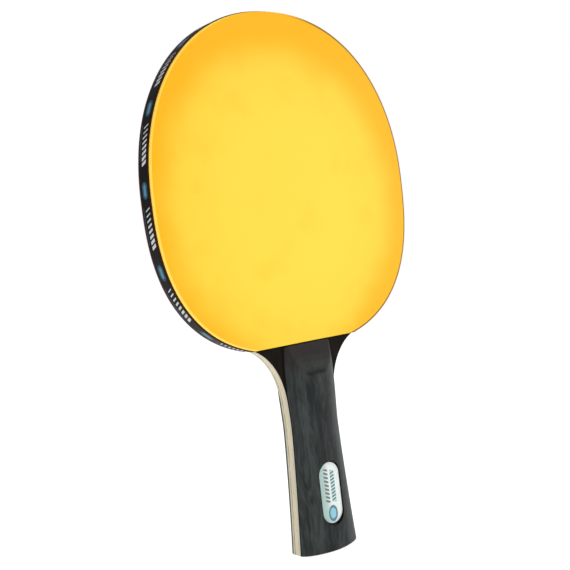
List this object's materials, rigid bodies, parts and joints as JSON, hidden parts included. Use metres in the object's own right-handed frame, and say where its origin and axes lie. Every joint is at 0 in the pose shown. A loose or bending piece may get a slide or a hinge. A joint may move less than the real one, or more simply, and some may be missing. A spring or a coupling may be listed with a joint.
{
  "type": "table tennis paddle",
  "caption": "Table tennis paddle: a rounded plywood blade with a rubber sheet on each face, edge tape round the head, and a flared two-scale handle with a small oval badge.",
  "frame": {"origin": "centre of the butt's end face, which is the middle of the bottom of the bounding box", "axes": "+Z along the handle to the top of the head, -Y out of the front hitting face where the badge is, +X to the right as seen from the front"},
  "size_m": [0.1508, 0.022, 0.258],
  "materials": {
    "core_wood": "pale open-grained wood, bare sanded edge",
    "ply_wood": "light veneer, bare sanded edge",
    "black_veneer": "black-stained veneer, satin",
    "sponge": "dark closed-cell sponge, matte",
    "topsheet_front": "yellow rubber, low sheen",
    "topsheet_rear": "deep red rubber, low sheen",
    "edge_tape": "black plastic film tape, satin",
    "handle_wood": "grey-dyed layered veneer, satin lacquer",
    "badge_plate": "satin silver plate with a printed pattern",
    "badge_dome": "clear domed resin, gloss"
  },
  "bodies": {
    "root": {"blade_core": "core_wood", "blade_inner_ply_front": "ply_wood", "blade_inner_ply_rear": "ply_wood", "blade_outer_ply_front": "black_veneer", "blade_outer_ply_rear": "black_veneer", "sponge_front": "sponge", "sponge_rear": "sponge", "topsheet_front": "topsheet_front", "topsheet_rear": "topsheet_rear", "edge_tape": "edge_tape", "handle_scale_front": "handle_wood", "handle_scale_rear": "handle_wood", "badge_plate": "badge_plate", "badge_dome": "badge_dome"}
  },
  "joints": []
}
